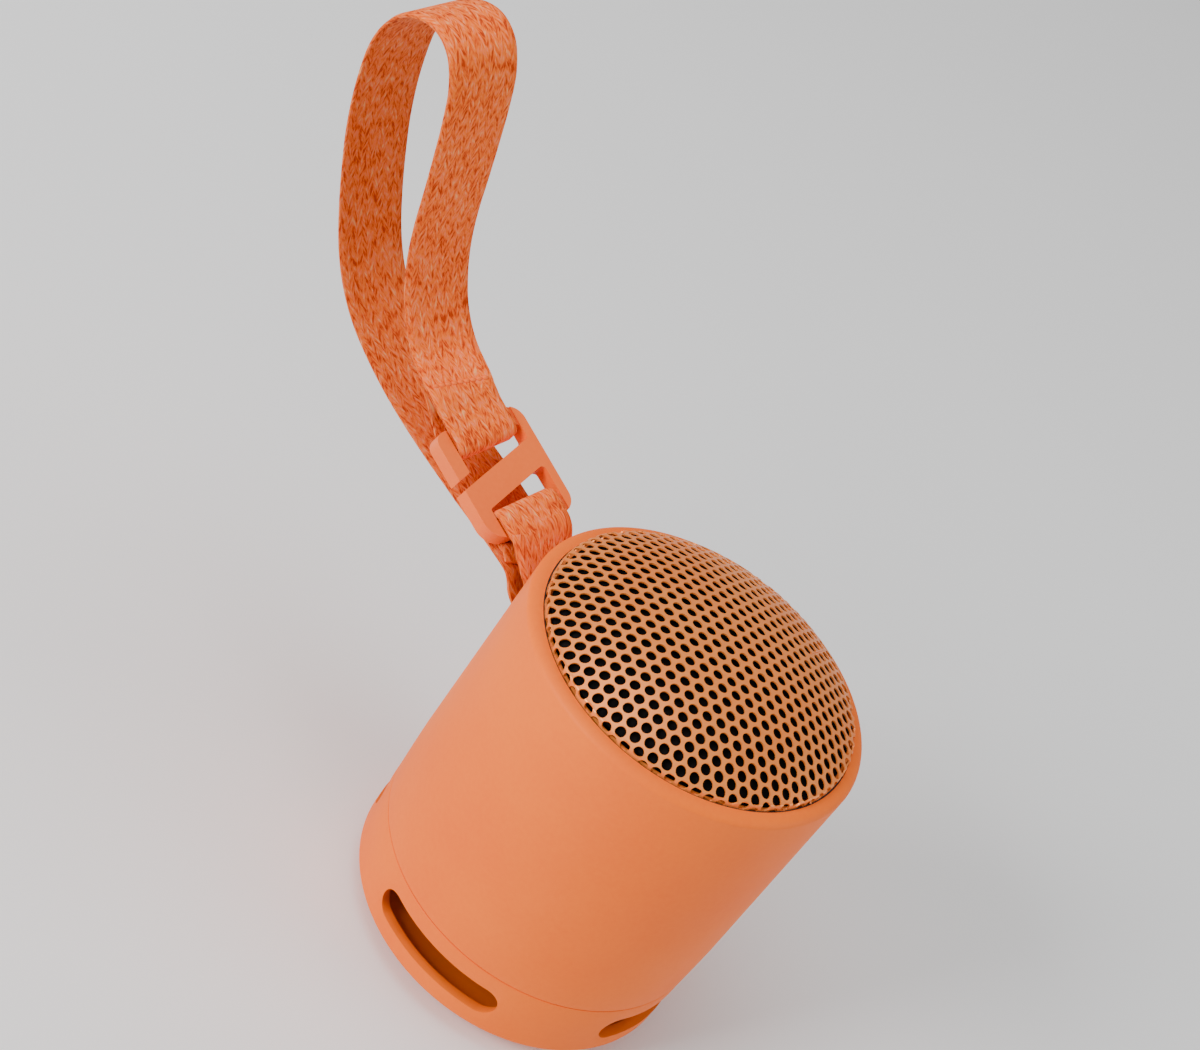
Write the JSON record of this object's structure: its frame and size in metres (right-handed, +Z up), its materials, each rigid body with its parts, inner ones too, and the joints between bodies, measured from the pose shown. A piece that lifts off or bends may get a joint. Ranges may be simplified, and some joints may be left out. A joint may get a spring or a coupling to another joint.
{
  "type": "portable bluetooth speaker",
  "caption": "Small round portable speaker with a domed perforated grille, a vented base, rear buttons, and a webbing wrist strap with a hook buckle.",
  "frame": {"origin": "centre of the foot's flat underside, on the housing's axis", "axes": "+Z up along the round housing's axis towards the grille, +Y towards the rear control panel, -X towards the strap"},
  "size_m": [0.1655, 0.0762, 0.1621],
  "materials": {
    "housing": "soft-touch matte orange",
    "grille_metal": "satin painted perforated metal",
    "black_cloth": "fine black acoustic cloth",
    "black_rubber": "matte black rubber",
    "orange_rubber": "matte orange silicone rubber",
    "webbing": "woven melange orange webbing",
    "buckle_plastic": "smooth moulded orange plastic",
    "steel": "plain steel",
    "ferrite": "dark ferrite",
    "inner_plastic": "black moulded plastic",
    "paper": "pressed paper pulp",
    "copper": "enamelled copper winding",
    "board": "green circuit board",
    "battery_wrap": "heat-shrink wrap",
    "light": "clear white light pipe"
  },
  "bodies": {
    "housing": {"shell": "housing", "base_cup": "housing", "foot_pad": "black_rubber", "grille": "grille_metal", "grille_cloth": "black_cloth", "base_seal": "black_rubber", "battery": "battery_wrap", "battery_cradle": "inner_plastic", "battery_lead": "black_rubber", "speaker_lead": "black_rubber", "button_board": "board", "main_board": "board", "control_panel": "orange_rubber", "driver_basket": "inner_plastic", "driver_gasket": "black_rubber", "light_pipe": "light", "magnet": "ferrite", "radiator_frame": "inner_plastic", "radiator_surround": "black_rubber", "spider": "paper", "strap_pin": "steel", "surround": "black_rubber", "top_plate": "steel", "usb_port": "steel", "usb_tongue": "inner_plastic", "yoke": "steel", "base_screw_1": "steel", "driver_screw_1": "steel", "base_screw_2": "steel", "driver_screw_2": "steel", "base_screw_3": "steel", "driver_screw_3": "steel", "base_screw_4": "steel", "driver_screw_4": "steel", "switch_1": "inner_plastic", "switch_2": "inner_plastic", "switch_3": "inner_plastic", "switch_4": "inner_plastic", "switch_5": "inner_plastic"},
    "strap": {"strap": "webbing"},
    "buckle": {"strap_buckle": "buckle_plastic"},
    "cap_flap": {"usb_cap": "orange_rubber"},
    "cone_assembly": {"driver_cone": "paper", "dust_cap": "inner_plastic", "voice_coil": "copper"},
    "radiator": {"radiator_plate": "inner_plastic", "radiator_weight": "steel"},
    "button_power": {"button_power": "orange_rubber"},
    "button_pairing": {"button_pairing": "orange_rubber"},
    "button_volume_down": {"button_volume_down": "orange_rubber"},
    "button_play": {"button_play": "orange_rubber"},
    "button_volume_up": {"button_volume_up": "orange_rubber"}
  },
  "joints": [
    {"name": "strap_swing", "type": "hinge", "parent": "housing", "child": "strap", "pos_m": [-0.034, 0, 0.0698], "axis": [0, 1, 0], "range_deg": [-60, 12]},
    {"name": "buckle_shift", "type": "slide", "parent": "strap", "child": "buckle", "axis": [0.1439, 0.9644, 0.2219], "range_m": [-0.0011, 0]},
    {"name": "cap_open", "type": "hinge", "parent": "housing", "child": "cap_flap", "pos_m": [0, 0.0373, 0.0229], "axis": [-1, 0, 0], "range_deg": [0, 95], "stiffness_Nm_per_rad": 0.0005},
    {"name": "cone_travel", "type": "slide", "parent": "housing", "child": "cone_assembly", "axis": [0, 0, 1], "range_m": [-0.0015, 0.0015], "stiffness_N_per_m": 900, "deforming": ["surround", "spider"]},
    {"name": "radiator_travel", "type": "slide", "parent": "housing", "child": "radiator", "axis": [0, 0, 1], "range_m": [-0.00165, 0.00165], "stiffness_N_per_m": 900, "deforming": ["radiator_surround"]},
    {"name": "press_power", "type": "slide", "parent": "housing", "child": "button_power", "axis": [0, -1, 0], "range_m": [0, 0.0005], "stiffness_N_per_m": 1500},
    {"name": "press_pairing", "type": "slide", "parent": "housing", "child": "button_pairing", "axis": [0, -1, 0], "range_m": [0, 0.0005], "stiffness_N_per_m": 1500},
    {"name": "press_volume_down", "type": "slide", "parent": "housing", "child": "button_volume_down", "axis": [0, -1, 0], "range_m": [0, 0.0005], "stiffness_N_per_m": 1500},
    {"name": "press_play", "type": "slide", "parent": "housing", "child": "button_play", "axis": [0, -1, 0], "range_m": [0, 0.0005], "stiffness_N_per_m": 1500},
    {"name": "press_volume_up", "type": "slide", "parent": "housing", "child": "button_volume_up", "axis": [0, -1, 0], "range_m": [0, 0.0005], "stiffness_N_per_m": 1500}
  ],
  "couplings": [
    {"joint": "radiator_travel", "follows": "cone_travel", "ratio": 1.1}
  ]
}
